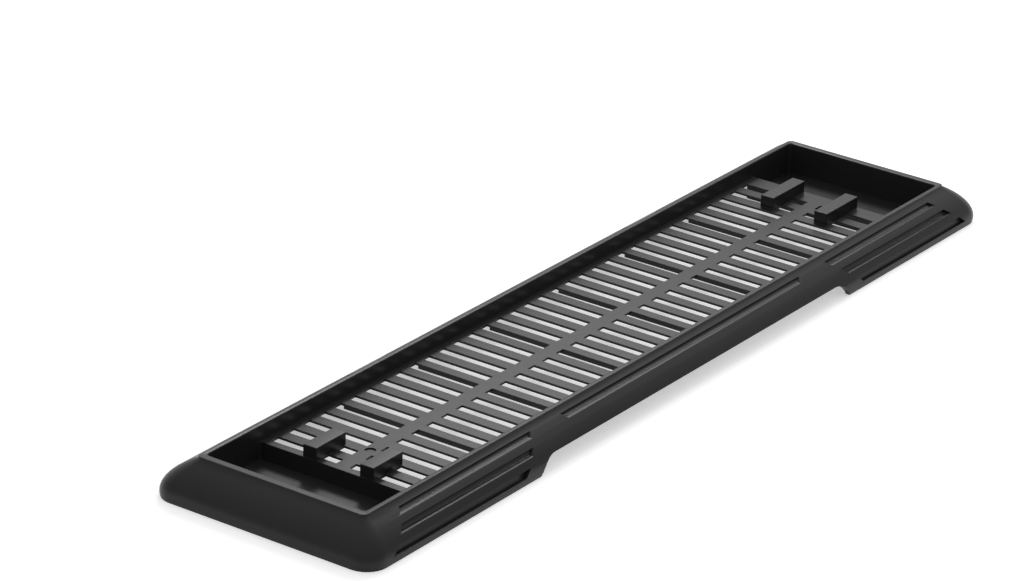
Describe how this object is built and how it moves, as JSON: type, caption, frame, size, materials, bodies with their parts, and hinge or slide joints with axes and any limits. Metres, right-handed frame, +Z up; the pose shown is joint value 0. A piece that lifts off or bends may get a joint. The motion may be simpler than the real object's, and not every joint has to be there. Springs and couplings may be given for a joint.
{
  "type": "console stand",
  "caption": "Low one-piece stand that holds a game console upright: raised rim, slotted floor, locating blocks and a flared grooved skirt.",
  "frame": {"origin": "bottom centre, on the surface the stand rests on", "axes": "+X along the long side, +Y across, +Z up through the slotted floor"},
  "size_m": [0.3304, 0.0788, 0.0122],
  "materials": {
    "black_plastic": "fine satin moulded surface"
  },
  "bodies": {
    "root": {"console_stand": "black_plastic"}
  },
  "joints": []
}
